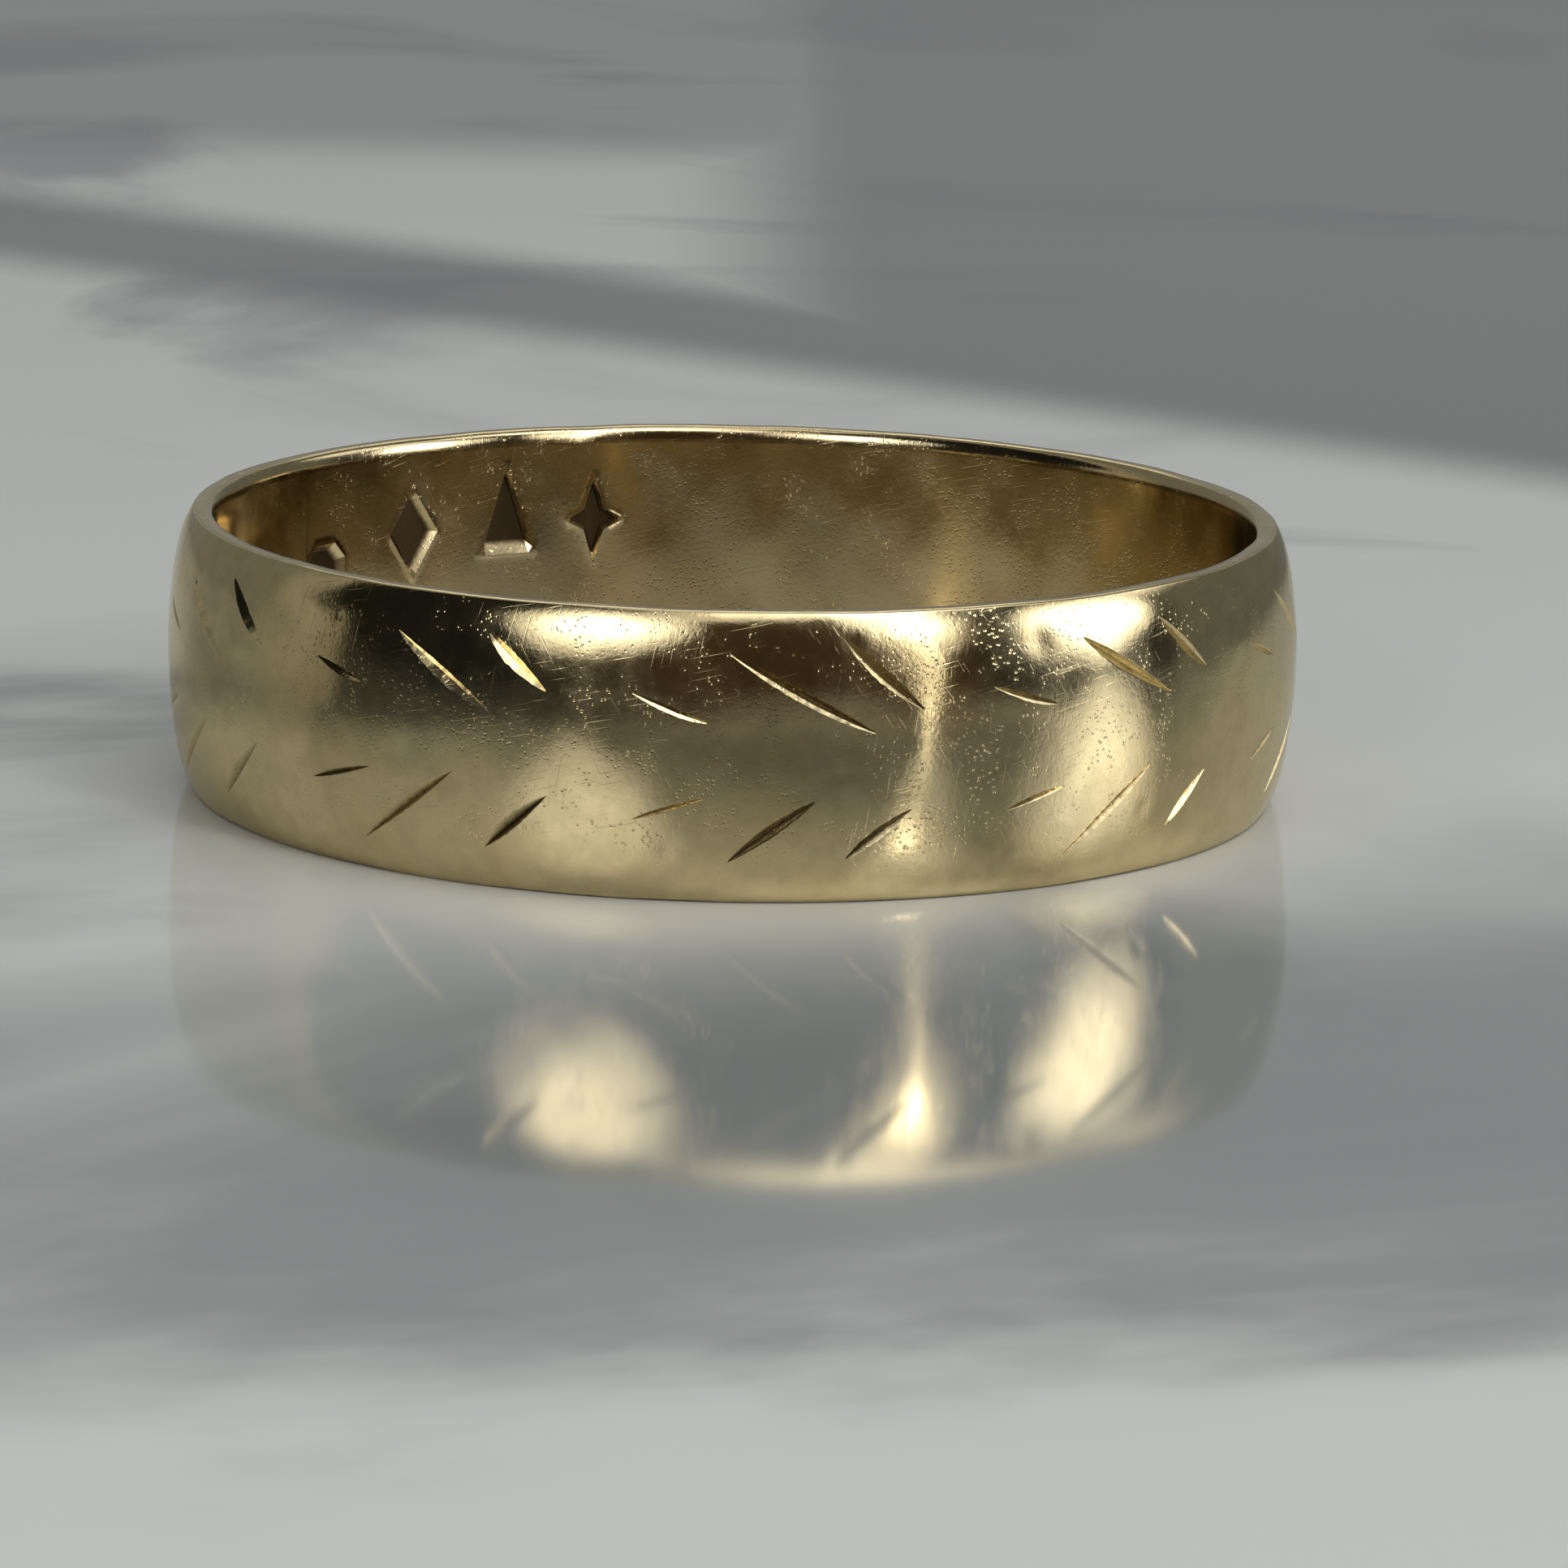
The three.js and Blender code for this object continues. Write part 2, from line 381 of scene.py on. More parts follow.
def inside_polygon(points, polygon):
    """Whether each point is inside a closed polygon."""
    inside = np.zeros(len(points), bool)
    for (x0, y0), (x1, y1) in zip(polygon, np.roll(polygon, -1, 0)):
        crosses = (points[:, 1] > y0) != (points[:, 1] > y1)
        with np.errstate(divide="ignore", invalid="ignore"):
            x = x0 + (points[:, 1] - y0) * (x1 - x0) / (y1 - y0)
        inside ^= crosses & (points[:, 0] < x)
    return inside


def distance_to_polygon(points, polygon):
    """Distance of each point from the outline of a closed polygon."""
    best = np.full(len(points), np.inf)
    for start, end in zip(polygon, np.roll(polygon, -1, 0)):
        step = end - start
        share = np.clip((points - start) @ step / (step @ step), 0, 1)
        gap = points - start - share[:, None] * step
        best = np.minimum(best, np.hypot(gap[:, 0], gap[:, 1]))
    return best


class Punch:
    """A mark struck into the bore: a mouth, sloping walls, a smaller floor and a raised lip."""

    def __init__(self, shape, angle, lift):
        self.column = column_of(angle)
        self.scale = BORE_RADIUS * COLUMN_ANGLE
        self.middle = along_at(HALF_WIDTH + lift, IN_BORE)
        self.mouth = punch_outline(shape)
        self.floor = self.mouth * PUNCH_FLOOR_SHARE

    def to_local(self, column, along):
        return np.stack([(column - self.column) * self.scale, along - self.middle], -1)

    def from_local(self, points):
        return self.column + points[:, 0] / self.scale, points[:, 1] + self.middle

    def rings(self):
        """Closed rings of points to draw the punch with, and how far each one rises."""
        lip = self.mouth * (1 + PUNCH_LIP_REACH / np.hypot(*self.mouth.T).mean())
        return [
            (divided(lip), 0.0),
            (divided(self.mouth), 0.0),
            (divided(self.floor), -PUNCH_DEPTH),
        ]


def divided(outline):
    """The outline with points added so that none are far apart."""
    points = []
    for start, end in zip(outline, np.roll(outline, -1, 0)):
        count = max(1, round(float(np.hypot(*(end - start))) / OUTLINE_STEP))
        points += [start + (end - start) * i / count for i in range(count)]
    return np.array(points)


slashes = make_slashes()
punches = [Punch(*punch) for punch in PUNCHES]


# ---- Waves, dings and lips that stand above or below the plain surface ----

WAVE_COUNT = 28
WAVE_SLOPE = 0.012  # typical slope of all the waves together
WAVES_ROUND = (5, 42)  # fewest and most round the band
WAVES_ALONG = 6  # most along the section, either way
DING_COUNT = 70
DING_RADIUS = (0.10, 0.32)
DING_SLOPE = 0.05  # depth of a ding next to its radius


def make_waves():
    waves = []
    slope = WAVE_SLOPE * math.sqrt(2 / WAVE_COUNT)
    for _ in range(WAVE_COUNT):
        turns_round = rng.randint(*WAVES_ROUND)
        turns_along = rng.randint(-WAVES_ALONG, WAVES_ALONG)
        per_along = 2 * math.pi * turns_along / SECTION_LENGTH
        height = slope / math.hypot(turns_round / CROWN_RADIUS, per_along)
        waves.append((turns_round, per_along, rng.uniform(0, 2 * math.pi), height))
    return waves


def make_dings():
    dings = []
    first, last = ALONG[ON_DOME][[0, -1]]
    for _ in range(DING_COUNT):
        radius = DING_RADIUS[0] + (DING_RADIUS[1] - DING_RADIUS[0]) * rng.random() ** 2
        depth = radius * DING_SLOPE * rng.uniform(0.3, 1)
        dings.append((rng.uniform(0, COLUMNS), rng.uniform(first, last), radius, depth))
    return dings


waves = make_waves()
dings = make_dings()


def relief(column, along):
    """Rise of the worn surface above the plain one."""
    theta = theta_of(column)
    rise = np.zeros(len(column))
    for turns_round, per_along, phase, height in waves:
        rise += height * np.sin(turns_round * theta + per_along * along + phase)
    for ding_column, ding_along, radius, depth in dings:
        across = (column - ding_column + COLUMNS / 2) % COLUMNS - COLUMNS / 2
        gap = (across * COLUMN_STEP) ** 2 + (along - ding_along) ** 2
        rise -= depth * np.exp(-gap / radius**2)
    for punch in punches:
        local = punch.to_local(column, along)
        near = np.hypot(*local.T) < PUNCH_HEIGHT
        gap = distance_to_polygon(local[near], punch.mouth)
        rise[near] += PUNCH_LIP_RISE * np.exp(-((gap / PUNCH_LIP_REACH) ** 2))
    return rise


# ---- Drawing the surface, one sector at a time ----

ROW_STEP = 0.1
ROW_TURN = math.radians(12)
SLASH_ROOM = 0.035  # grid points closer than this to a slash are left out
PUNCH_ROOM = 0.03
FINE_BORE_REACH = 0.35  # how far round a punch the bore's grid is fine
SIDE_DIRT_AND_SHADE = 0.6  # dirt and painted shade at the edges of a slash next to that in its keel
# dirt and painted shade on a punch's lip and mouth, next to the full amount on its floor
LIP_DIRT_AND_SHADE = 0.1
WALL = 2  # marks a triangle on a punch's wall; -1 and 1 mark the two faces of a slash


def grid_rows():
    """Distances along the section at which the grid has rows: closer where the section turns."""
    rows = [0.0]
    last = 0
    for i in range(1, len(ALONG) - 1):
        far = ALONG[i] - ALONG[last] >= ROW_STEP
        turned = abs(LEAN[i] - LEAN[last]) >= ROW_TURN
        if far or turned:
            rows.append(float(ALONG[i]))
            last = i
    if SECTION_LENGTH - rows[-1] < ROW_STEP / 3:
        rows.pop()
    return rows + [float(SECTION_LENGTH)]


ROWS = np.array(grid_rows())


def grid_points(first_column):
    """The sector's grid: columns and rows, without what slashes and punches take up."""
    column, along = np.meshgrid(np.arange(SECTOR_COLUMNS + 1) + first_column, ROWS)
    row_index = np.repeat(np.arange(len(ROWS)), SECTOR_COLUMNS + 1)
    column, along = column.ravel().astype(float), along.ravel()
    bore_start, bore_end = ALONG[IN_BORE][[0, -1]]
    coarse = (along > bore_start) & (along < bore_end)
    keep = np.ones(len(column), bool)
    for punch in punches:
        local = punch.to_local(column, along)
        coarse &= distance_to_polygon(local, punch.mouth) > FINE_BORE_REACH
        keep &= ~inside_polygon(local, punch.mouth)
        for outline, _ in punch.rings():
            keep &= distance_to_polygon(local, outline) > PUNCH_ROOM
    keep &= ~coarse | ((column % 2 == 0) & (row_index % 2 == 0))
    for slash in slashes:
        keep &= ~slash.crowds(column * COLUMN_STEP, along, SLASH_ROOM)
    return column[keep], along[keep]


class Points:
    """All the surface's points so far: column, distance along, rise, and how much dirt and painted
    shade each carries.
    """

    def __init__(self):
        self.blocks = []
        self.count = 0

    def add(self, column, along, rise, recess):
        block = np.stack(np.broadcast_arrays(column, along, rise, recess), -1).astype(float)
        self.blocks.append(block)
        ids = np.arange(self.count, self.count + len(block))
        self.count += len(block)
        return ids


def add_slash(points, slash):
    """Adds a slash's three rows of points and returns its edges. The rows share their tips."""
    rows = []
    level = 0 * slash.a
    for b, drop, dirt_and_shade in (
        (slash.low_b, level, SIDE_DIRT_AND_SHADE),
        (level, slash.drop, 1),
        (slash.high_b, level, SIDE_DIRT_AND_SHADE),
    ):
        x, y = slash.to_xy(slash.a, b)
        rows.append(points.add(x / COLUMN_STEP, y, -drop, slash.dirt_and_shade * dirt_and_shade))
    low, keel, high = rows
    low[[0, -1]] = high[[0, -1]] = keel[[0, -1]]
    slash.rows = rows
    return [edge for row in rows for edge in zip(row[:-1], row[1:])]


def add_punch(points, punch):
    """Adds a punch's rings of points and returns its edges."""
    edges = []
    for ring, rise in punch.rings():
        column, along = punch.from_local(ring)
        # A punch's floor carries the full dirt and painted shade, its lip and mouth a little
        ids = points.add(column, along, rise, 1.0 if rise else LIP_DIRT_AND_SHADE)
        edges += list(zip(ids, np.roll(ids, -1)))
    return edges


def draw_sector(sector, points):
    """Triangles of one sector, as point numbers, and which face of which feature each is on."""
    first_column = sector * SECTOR_COLUMNS
    last_column = first_column + SECTOR_COLUMNS
    first_id = points.count
    points.add(*grid_points(first_column), 0, 0)
    edges = []
    here = [s for s in slashes if first_column <= s.column < last_column]
    for slash in here:
        edges += add_slash(points, slash)
    here_punches = [p for p in punches if first_column <= p.column < last_column]
    for punch in here_punches:
        edges += add_punch(points, punch)

    block = np.concatenate(points.blocks)[first_id:]
    x = (block[:, 0] - first_column) * COLUMN_STEP
    flat = [Vector(point) for point in zip(x, block[:, 1])]
    edges = [(int(a) - first_id, int(b) - first_id) for a, b in edges]
    _, _, faces, origins, _, _ = delaunay_2d_cdt(flat, edges, [], 0, 1e-6)
    first_origin = np.array([origin[0] for origin in origins])
    triangles = first_origin[np.array(faces)]

    centre = block[triangles][:, :, :2].mean(1)
    side = np.zeros(len(triangles), int)
    for slash in here:
        side += slash.side_of(centre[:, 0] * COLUMN_STEP, centre[:, 1])
    for punch in here_punches:
        local = punch.to_local(centre[:, 0], centre[:, 1])
        wall = inside_polygon(local, punch.mouth) & ~inside_polygon(local, punch.floor)
        side[wall] = WALL
    return triangles[:, ::-1] + first_id, side


def unit(vectors):
    return vectors / np.linalg.norm(vectors, axis=-1, keepdims=True)


SLOPE_REACH = 0.003  # half the distance over which the relief's slope is measured


def worn_normals(column, along, normal, around, down):
    """The surface's normals once its waves, dings and lips lean them over."""
    radius = np.interp(along, ALONG, RADIUS)
    columns = SLOPE_REACH / (radius * COLUMN_ANGLE)
    rise_around = relief(column + columns, along) - relief(column - columns, along)
    rise_down = relief(column, along + SLOPE_REACH) - relief(column, along - SLOPE_REACH)
    lean = around * rise_around[:, None] + down * rise_down[:, None]
    return unit(normal - lean / (2 * SLOPE_REACH))


def slash_faces(slash, place, normal):
    """For each face of a slash: its side, its keel's and edge's points, and normals along it."""
    low, keel, high = slash.rows
    forward = np.gradient(place[keel], axis=0)
    for side, edge in ((-1, low), (1, high)):
        across = np.cross(forward, place[edge] - place[keel])
        across[0], across[-1] = across[1], across[-2]
        across = unit(across)
        across *= np.sign((across * normal[keel]).sum(-1))[:, None]
        yield side, keel, edge, across


def all_corner_normals(triangles, sides, place, plain, worn):
    """A normal for each corner of each triangle, so that slashes and punches keep crisp edges."""
    corners = worn[triangles]
    for slash in slashes:
        for side, keel, edge, across in slash_faces(slash, place, plain):
            lookup = np.zeros_like(worn)
            lookup[edge] = unit(across + EDGE_SOFTNESS * plain[edge])
            lookup[keel] = across
            on_face = np.isin(triangles, np.concatenate([keel, edge])).all(1)
            mine = (sides == side) & on_face
            corners[mine] = lookup[triangles[mine]]
    walls = sides == WALL
    flat = unit(np.cross(*(place[triangles[:, i]] - place[triangles[:, 0]] for i in (1, 2))))
    corners[walls] = flat[walls][:, None]
    return corners


COLUMN_PARTS = 1000  # points in the same part of a column and of a millimetre are one point
ALONG_PARTS = 100000


def weld(column, along, triangles):
    """Joins the points that sectors and the section's two ends share.

    Returns the numbers of the points that stay, and the triangles on those points.
    """
    whole_turn = COLUMNS * COLUMN_PARTS
    whole_section = round(SECTION_LENGTH * ALONG_PARTS)
    keys = np.round(column * COLUMN_PARTS).astype(int) % whole_turn * whole_section
    keys += np.round(along * ALONG_PARTS).astype(int) % whole_section
    _, kept, merged = np.unique(keys, return_index=True, return_inverse=True)
    return kept, merged[triangles]


def build_band():
    """The whole band as one mesh with its own normals, a flat map of it and a recess mark."""
    points = Points()
    drawn = [draw_sector(sector, points) for sector in range(SECTORS)]
    triangles = np.concatenate([sector_triangles for sector_triangles, _ in drawn])
    sides = np.concatenate([sector_sides for _, sector_sides in drawn])
    column, along, rise, recess = np.concatenate(points.blocks).T

    height = rise + relief(column, along)
    place, plain, around, down = surface(theta_of(column), along, height)
    worn = worn_normals(column, along, plain, around, down)
    corner_normals = all_corner_normals(triangles, sides, place, plain, worn)

    shift = np.repeat(
        [-COLUMNS * (sector >= SECTORS // 2) for sector in range(SECTORS)],
        [len(sector_triangles) for sector_triangles, _ in drawn],
    )
    u = (column[triangles] + shift[:, None]) * COLUMN_STEP
    flat_map = np.stack([u, along[triangles]], -1)
    kept, triangles = weld(column, along, triangles)

    mesh = bpy.data.meshes.new("band_surface")
    mesh.from_pydata(place[kept] * MM, [], triangles.tolist())
    layer = mesh.uv_layers.new(name="around_and_along")
    layer.data.foreach_set("uv", flat_map.ravel())
    mark = mesh.attributes.new("recess", "FLOAT", "POINT")
    mark.data.foreach_set("value", recess[kept])
    mesh.polygons.foreach_set("use_smooth", np.ones(len(mesh.polygons), bool))
    mesh.normals_split_custom_set(corner_normals.reshape(-1, 3).tolist())
    piece = bpy.data.objects.new("gold_band", mesh)
    scene.collection.objects.link(piece)
    return piece


# ---- Node trees ----


def add(tree, kind, inputs=None, **settings):
    """A new node, with its settings, and with its inputs set to values or linked to sockets."""
    node = tree.nodes.new("ShaderNode" + kind)
    for name, value in settings.items():
        setattr(node, name, value)
    for key, value in (inputs or {}).items():
        if isinstance(value, bpy.types.NodeSocket):
            tree.links.new(value, node.inputs[key])
        else:
            node.inputs[key].default_value = value
    return node


def maths(tree, operation, *values):
    return add(tree, "Math", dict(enumerate(values)), operation=operation).outputs[0]


def smooth_step(tree, value, start, end, low=0.0, high=1.0):
    """low up to start, high from end on, and a smooth change between."""
    inputs = {"Value": value, "From Min": start, "From Max": end, "To Min": low, "To Max": high}
    return add(tree, "MapRange", inputs, interpolation_type="SMOOTHSTEP").outputs["Result"]


def blend_colours(tree, share, first, second):
    """The first colour at a share of 0 and the second at 1."""
    inputs = {"Factor": share, 6: first, 7: second}
    return add(tree, "Mix", inputs, data_type="RGBA").outputs[2]


def between(tree, value, rise_start, rise_end, fall_start, fall_end):
    """0 outside a range and 1 inside it, with a smooth rise and fall."""
    rise = smooth_step(tree, value, rise_start, rise_end)
    return maths(tree, "MULTIPLY", rise, smooth_step(tree, value, fall_start, fall_end, 1.0, 0.0))


def in_millimetres(tree, place):
    """Object coordinates, which are in metres, as a vector in millimetres."""
    return add(tree, "VectorMath", {0: place, 1: (1 / MM,) * 3}, operation="MULTIPLY").outputs[0]


# ---- The gold ----

GOLD = (0.63, 0.525, 0.3, 1)
GOLD_WARM = (0.61, 0.485, 0.255, 1)
# Painted shade: a darker, warmer gold for the bore
GOLD_SHADED_IN_BORE = (0.56, 0.45, 0.26, 1)
GOLD_DULL = (0.5, 0.41, 0.225, 1)
GOLD_GRAZING = (1.0, 0.97, 0.88, 1)
# Near-black brown of the dirt and painted shade in the cuts and punches
GRIME_AND_SHADE = (0.035, 0.02, 0.008, 1)
ROUGHNESS = (0.10, 0.18)  # where least and most worn
GRIME_ROUGHNESS = 0.25  # added where dirty
SCRATCH_ROUGHNESS = 0.10  # added in a scratch
PIT_DEPTH = 1.6  # depths as shares of BUMP_HEIGHT
SCRATCH_DEPTH = 0.5
GRAIN_HEIGHT = 0.8
BUMP_HEIGHT = 0.0022 * MM  # in metres, as the Bump node takes it


def scratches(tree, flat_map, angle, spacing, stretch, amount):
    """Height of hairline scratches that run one way: 0 in the open and -amount in a scratch."""
    turned = add(
        tree, "Mapping", {"Vector": flat_map, "Rotation": (0, 0, math.radians(angle))}
    ).outputs["Vector"]
    drawn_out = add(
        tree, "Mapping", {"Vector": turned, "Scale": (1 / (spacing * stretch), 1 / spacing, 1)}
    ).outputs["Vector"]
    noise = add(
        tree, "TexNoise", {"Vector": drawn_out, "Scale": 1.0, "Detail": 1.0}
    ).outputs["Fac"]
    return smooth_step(tree, noise, 0.66, 0.76, 0.0, -amount)


def bore_share(tree, millimetres):
    """1 in the bore and 0 on the outside, from the distance to the band's axis."""
    level = add(tree, "VectorMath", {0: millimetres, 1: (1, 1, 0)}, operation="MULTIPLY")
    radius = add(tree, "VectorMath", {0: level.outputs[0]}, operation="LENGTH").outputs["Value"]
    return smooth_step(tree, radius, BORE_RADIUS + 0.02, BORE_RADIUS + 0.2, 1.0, 0.0)


def gold_material():
    """Fourteen-carat yellow gold: once polished, now hazed, pitted and scratched. Dirt and painted
    shade darken the cuts and punches, and painted shade darkens the bore.
    """
    material = bpy.data.materials.new("worn_gold")
    material.use_nodes = True
    tree = material.node_tree
    tree.nodes.clear()
    millimetres = in_millimetres(tree, add(tree, "TexCoord").outputs["Object"])
    flat_map = add(tree, "UVMap", uv_map="around_and_along").outputs["UV"]
    recess = add(tree, "Attribute", attribute_name="recess").outputs["Fac"]

    def noise(scale, detail, roughness=0.5):
        inputs = {"Vector": millimetres, "Scale": scale, "Detail": detail, "Roughness": roughness}
        return add(tree, "TexNoise", inputs).outputs["Fac"]

    clouds = noise(0.45, 3.0)
    wear = noise(1.3, 4.0, 0.6)
    mottle = noise(2.4, 5.0, 0.65)
    grain = noise(11.0, 3.0, 0.6)
    specks = add(tree, "TexVoronoi", {"Vector": millimetres, "Scale": 11.0}).outputs["Distance"]
    pits = smooth_step(tree, specks, 0.12, 0.32, -1.0, 0.0)
    pits = maths(tree, "MULTIPLY", pits, smooth_step(tree, wear, 0.46, 0.62))
    # How much dirt and painted shade: the recess mark, plus a little grain
    dirt_and_shade = maths(tree, "ADD", recess, maths(tree, "MULTIPLY", grain, 0.3))
    grime_and_shade = smooth_step(tree, dirt_and_shade, 0.5, 1.15)

    fine = scratches(tree, flat_map, 12, 0.035, 30, 0.6)
    steep = scratches(tree, flat_map, -58, 0.04, 18, 0.4)
    long_ones = scratches(tree, flat_map, 81, 0.05, 26, 0.5)
    scratched = maths(tree, "ADD", maths(tree, "ADD", fine, steep), long_ones)

    tone = blend_colours(tree, smooth_step(tree, clouds, 0.35, 0.7), GOLD, GOLD_WARM)
    # Painted shade: darker, warmer gold in the bore
    tone = blend_colours(tree, bore_share(tree, millimetres), tone, GOLD_SHADED_IN_BORE)
    tone = blend_colours(tree, smooth_step(tree, mottle, 0.38, 0.66, 0.0, 0.6), tone, GOLD_DULL)
    # Dirt and painted shade darken the cuts and punches
    colour = blend_colours(tree, maths(tree, "MULTIPLY", grime_and_shade, 0.96), tone, GRIME_AND_SHADE)

    roughness = smooth_step(tree, wear, 0.3, 0.75, *ROUGHNESS)
    from_grime = maths(tree, "MULTIPLY", grime_and_shade, GRIME_ROUGHNESS)
    from_scratches = maths(tree, "MULTIPLY", scratched, SCRATCH_ROUGHNESS)
    roughness = maths(tree, "ADD", roughness, from_grime)
    roughness = maths(tree, "SUBTRACT", roughness, from_scratches)

    height = maths(tree, "MULTIPLY", pits, PIT_DEPTH)
    height = maths(tree, "ADD", height, maths(tree, "MULTIPLY", scratched, SCRATCH_DEPTH))
    height = maths(tree, "ADD", height, maths(tree, "MULTIPLY", grain, GRAIN_HEIGHT))
    bump = {"Strength": 1.0, "Distance": BUMP_HEIGHT, "Height": height}

    settings = {
        "Base Color": colour,
        "Metallic": 1.0,
        "Roughness": roughness,
        "Specular Tint": GOLD_GRAZING,
        "Anisotropic": 0.5,
        "Anisotropic Rotation": 0.25,
        "Normal": add(tree, "Bump", bump).outputs["Normal"],
    }
    shader = add(tree, "BsdfPrincipled", settings)
    add(tree, "OutputMaterial", {"Surface": shader.outputs["BSDF"]})
    return material


# ---- The studio ----

FLOOR_RADIUS = 1.2  # metres
FLOOR_GAP = 0.01  # how far below the band's lowest point the floor lies
FLOOR_PALE = (0.55, 0.56, 0.53, 1)
FLOOR_GREY = (0.20, 0.215, 0.212, 1)
# colour of the soft shadows painted into the floor
FLOOR_SHADED = (0.05, 0.056, 0.058, 1)
FLOOR_CLOUDS = 34  # clouds in the marble, per metre
FLOOR_DULLS = (60, 180)  # distances from the band between which the floor loses its shine
SHADOW_DEPTH = 0.85


def room_shadows(tree, x, y):
    """How deep each point of the floor lies in the soft shadows painted into its colour, 0 to 1.

    x and y are in millimetres. A narrow shadow slants away to the left behind the band, a wide
    one takes up the right and the far end, and one more lies off to the left.
    """
    slant = maths(tree, "ADD", y, maths(tree, "MULTIPLY", x, 0.8))
    narrow = between(tree, slant, 46, 54, 59, 67)
    right_side = smooth_step(tree, x, -3, 4)
    wide = maths(tree, "MULTIPLY", smooth_step(tree, slant, 46, 54), right_side)
    far_end = smooth_step(tree, y, 86, 98, 0.0, 0.75)
    left_side = smooth_step(tree, x, -22, -13, 1.0, 0.0)
    left = maths(tree, "MULTIPLY", left_side, smooth_step(tree, y, -8, 4, 1.0, 0.0))
    behind = maths(tree, "MAXIMUM", narrow, wide)
    return maths(tree, "MAXIMUM", behind, maths(tree, "MAXIMUM", far_end, left))


def grey_bank_and_shade(tree, x, y, clouds):
    """How grey the floor is in the broad bank in front of the band, 0 to 1: partly a grey cloud in the
    marble and partly painted shade.
    """
    wander = maths(tree, "MULTIPLY", maths(tree, "SUBTRACT", clouds, 0.5), 36)
    drift = maths(tree, "SUBTRACT", y, maths(tree, "MULTIPLY", x, 0.4))
    bank = between(tree, maths(tree, "ADD", drift, wander), -44, -34, -18, -7)
    return maths(tree, "MULTIPLY", bank, smooth_step(tree, clouds, 0.4, 0.56, 0.5, 0.95))


def marble_material():
    """Polished white marble with soft grey clouds, a grey bank that is partly painted shade, and soft
    shadows painted into its colour. It shines less far from the band.
    """
    material = bpy.data.materials.new("marble")
    material.use_nodes = True
    tree = material.node_tree
    place = add(tree, "TexCoord").outputs["Object"]
    inputs = {"Vector": place, "Scale": FLOOR_CLOUDS, "Detail": 5.0, "Distortion": 0.8}
    clouds = add(tree, "TexNoise", inputs).outputs["Fac"]
    millimetres = in_millimetres(tree, place)
    x, y, _ = add(tree, "SeparateXYZ", {0: millimetres}).outputs
    distance = add(tree, "VectorMath", {0: millimetres}, operation="LENGTH").outputs["Value"]

    colour = blend_colours(tree, smooth_step(tree, clouds, 0.50, 0.66), FLOOR_PALE, FLOOR_GREY)
    # A grey bank in front of the band: partly marble cloud, partly painted shade
    colour = blend_colours(tree, grey_bank_and_shade(tree, x, y, clouds), colour, FLOOR_GREY)
    # Painted shadows darken the floor's colour
    shade = maths(tree, "MULTIPLY", room_shadows(tree, x, y), SHADOW_DEPTH)
    colour = blend_colours(tree, shade, colour, FLOOR_SHADED)

    shader = tree.nodes["Principled BSDF"]
    tree.links.new(colour, shader.inputs["Base Color"])
    shine = smooth_step(tree, distance, *FLOOR_DULLS, 0.5, 0.05)
    tree.links.new(shine, shader.inputs["Specular IOR Level"])
    shader.inputs["Roughness"].default_value = 0.07
    shader.inputs["IOR"].default_value = 1.6
    return material


def make_floor():
    """The marble slab, as a wide disc."""
    mesh = bpy.data.meshes.new("floor")
    turns = np.linspace(0, 2 * math.pi, 96, endpoint=False)
    rim = [(FLOOR_RADIUS * math.cos(t), FLOOR_RADIUS * math.sin(t), -FLOOR_GAP * MM) for t in turns]
    mesh.from_pydata(rim, [], [list(range(len(rim)))])
    mesh.materials.append(marble_material())
    floor = bpy.data.objects.new("floor", mesh)
    scene.collection.objects.link(floor)


def make_panel(name, azimuth, elevation, wide, tall, radiance, colour=(1, 1, 1), far=0.5):
    """An oval panel of light that faces the band, unseen by the camera.

    Its place and size are in degrees, as seen from the band, and far is its distance in metres.
    """
    light = bpy.data.lights.new(name, "AREA")
    light.shape = "ELLIPSE"
    light.size = 2 * far * math.tan(math.radians(wide / 2))
    light.size_y = 2 * far * math.tan(math.radians(tall / 2))
    light.energy = radiance * math.pi * light.size * light.size_y * math.pi / 4
    light.color = colour
    lamp = bpy.data.objects.new(name, light)
    scene.collection.objects.link(lamp)
    turn, rise = math.radians(azimuth), math.radians(elevation)
    away = Vector(
        (math.sin(turn) * math.cos(rise), -math.cos(turn) * math.cos(rise), math.sin(rise))
    )
    lamp.location = away * far
    lamp.rotation_euler = away.to_track_quat("Z", "Y").to_euler()
    lamp.visible_camera = False


WINDOW_COLOUR = (0.99, 1.0, 1.02)
WINDOW_LAYERS = [(1.0, 0.3), (0.78, 0.4), (0.52, 0.6)]  # size and strength, from the dim edge in


def make_window(name, azimuth, elevation, wide, tall, radiance):
    """A window that is brightest in the middle, made of nested panels."""
    for layer, (size, strength) in enumerate(WINDOW_LAYERS):
        make_panel(
            f"{name}_{layer}",
            azimuth,
            elevation,
            wide * size,
            tall * size,
            radiance * strength,
            WINDOW_COLOUR,
            far=0.5 + 0.02 * layer,
        )


ROOM_LEFT = (0.21, 0.215, 0.205, 1)
ROOM_EDGE = (0.37, 0.36, 0.32, 1)
ROOM_RIGHT = (0.16, 0.17, 0.165, 1)
ROOM_BACK_LOW = (0.27, 0.28, 0.28, 1)
ROOM_BACK_HIGH = (1.6, 1.58, 1.5, 1)
ROOM_CEILING = (0.22, 0.225, 0.23, 1)
SHADE = (0.012, 0.013, 0.012, 1)
SHADE_WARM = (0.045, 0.028, 0.015, 1)
BACKDROP = (0.62, 0.63, 0.62, 1)


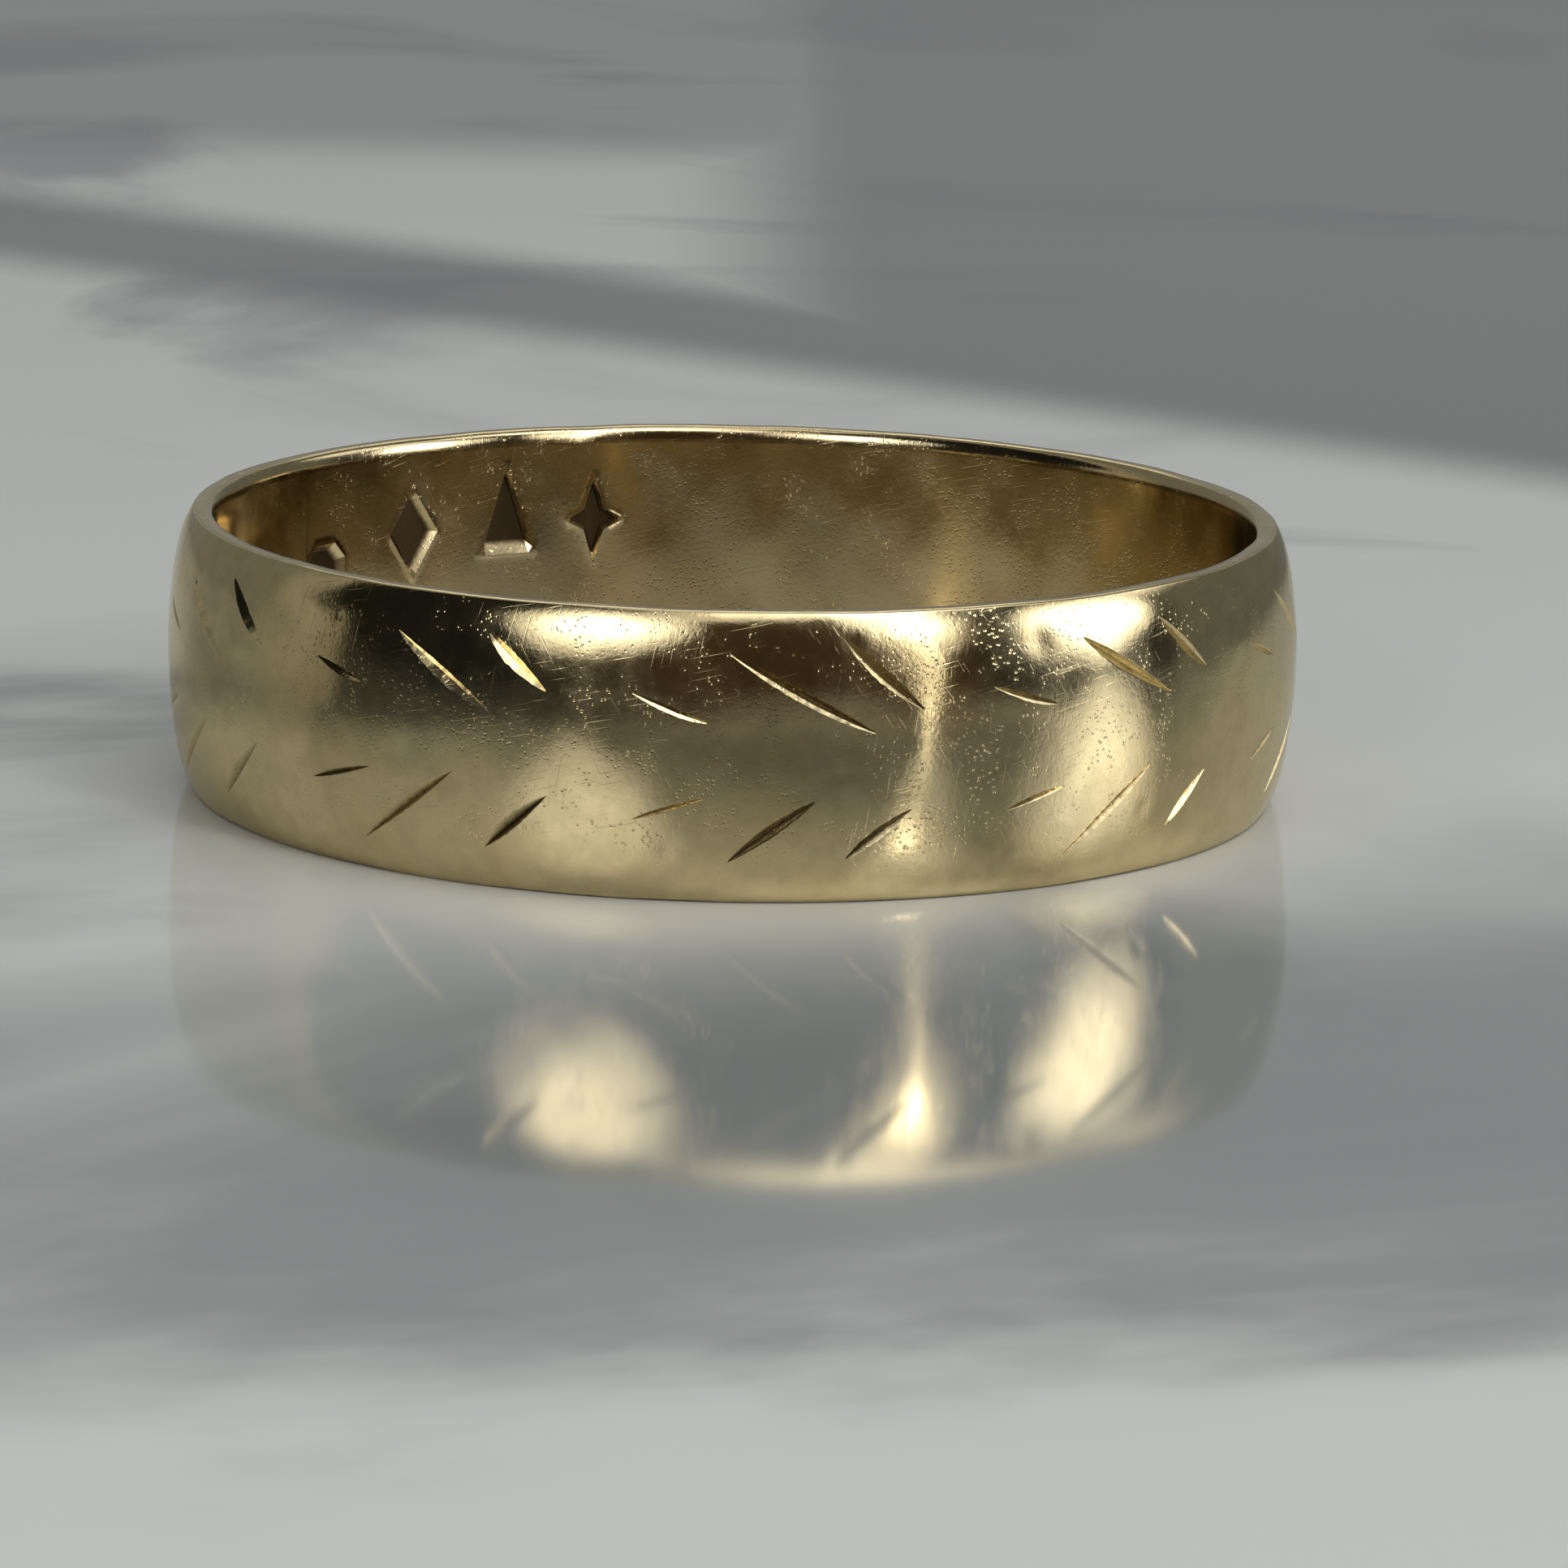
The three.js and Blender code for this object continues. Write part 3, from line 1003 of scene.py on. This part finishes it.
def make_room():
    """What the band reflects: a pale room behind it, and shade on the camera's side.

    Azimuths and elevations are in degrees. The camera itself sees only a plain pale backdrop
    past the floor.
    """
    world = bpy.data.worlds.new("room")
    scene.world = world
    world.use_nodes = True
    tree = world.node_tree
    tree.nodes.clear()
    direction = add(tree, "TexCoord").outputs["Generated"]
    x, y, z = add(tree, "SeparateXYZ", {0: direction}).outputs
    front = maths(tree, "MULTIPLY", y, -1.0)
    azimuth = maths(tree, "DEGREES", maths(tree, "ARCTAN2", x, front))
    elevation = maths(tree, "DEGREES", maths(tree, "ARCSINE", z))

    room = blend_colours(tree, smooth_step(tree, x, -0.5, 0.5), ROOM_LEFT, ROOM_RIGHT)
    room = blend_colours(tree, between(tree, azimuth, -112, -97, -60, -50), room, ROOM_EDGE)

    straight_back = smooth_step(tree, maths(tree, "ABSOLUTE", azimuth), 162, 172)
    below_ceiling = smooth_step(tree, elevation, 40, 55, 1.0, 0.0)
    high = smooth_step(tree, elevation, 24, 32)
    room_back = blend_colours(tree, high, ROOM_BACK_LOW, ROOM_BACK_HIGH)
    room = blend_colours(
        tree, maths(tree, "MULTIPLY", straight_back, below_ceiling), room, room_back
    )

    shade = blend_colours(tree, between(tree, azimuth, -40, -8, 45, 60), SHADE, SHADE_WARM)
    left_end = smooth_step(tree, elevation, 7, 12, -85.5, -95.5)
    past_left_end = smooth_step(tree, maths(tree, "SUBTRACT", azimuth, left_end), -1.5, 1.5)
    before_right_end = smooth_step(tree, azimuth, 98, 108, 1.0, 0.0)
    shaded = maths(tree, "MULTIPLY", past_left_end, before_right_end)
    seen = blend_colours(tree, shaded, room, shade)
    seen = blend_colours(tree, smooth_step(tree, elevation, 58, 76), seen, ROOM_CEILING)

    from_camera = add(tree, "LightPath").outputs["Is Camera Ray"]
    colour = blend_colours(tree, from_camera, seen, BACKDROP)
    background = add(tree, "Background", {"Color": colour, "Strength": 1.0})
    add(tree, "OutputWorld", {"Surface": background.outputs[0]})


def make_studio():
    """The floor, the room and the lights: azimuth, elevation, width, height and brightness."""
    make_floor()
    make_room()
    make_window("window_left", -29, 29, 36, 40, 3.6)
    make_window("window_middle", 40, 38, 21, 58, 2.8)
    make_window("window_right", 79, 20, 34, 38, 4.6)
    make_window("window_high", 45, 62, 80, 32, 2.8)
    make_window("window_side", 108, 36, 44, 22, 1.3)
    make_panel("lamp", 38.5, 28, 4, 4, 70.0, (1, 0.95, 0.86))
    make_panel("lamp_streak", 38.5, 10, 3, 44, 2.8, (1, 0.97, 0.9))
    make_panel("ceiling", 0, 90, 28, 28, 1.2)


# ---- Putting it together ----

gold_band = build_band()
gold_band.data.materials.append(gold_material())
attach(gold_band, "root")
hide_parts("band")

make_studio()
scene.view_settings.view_transform = "Standard"
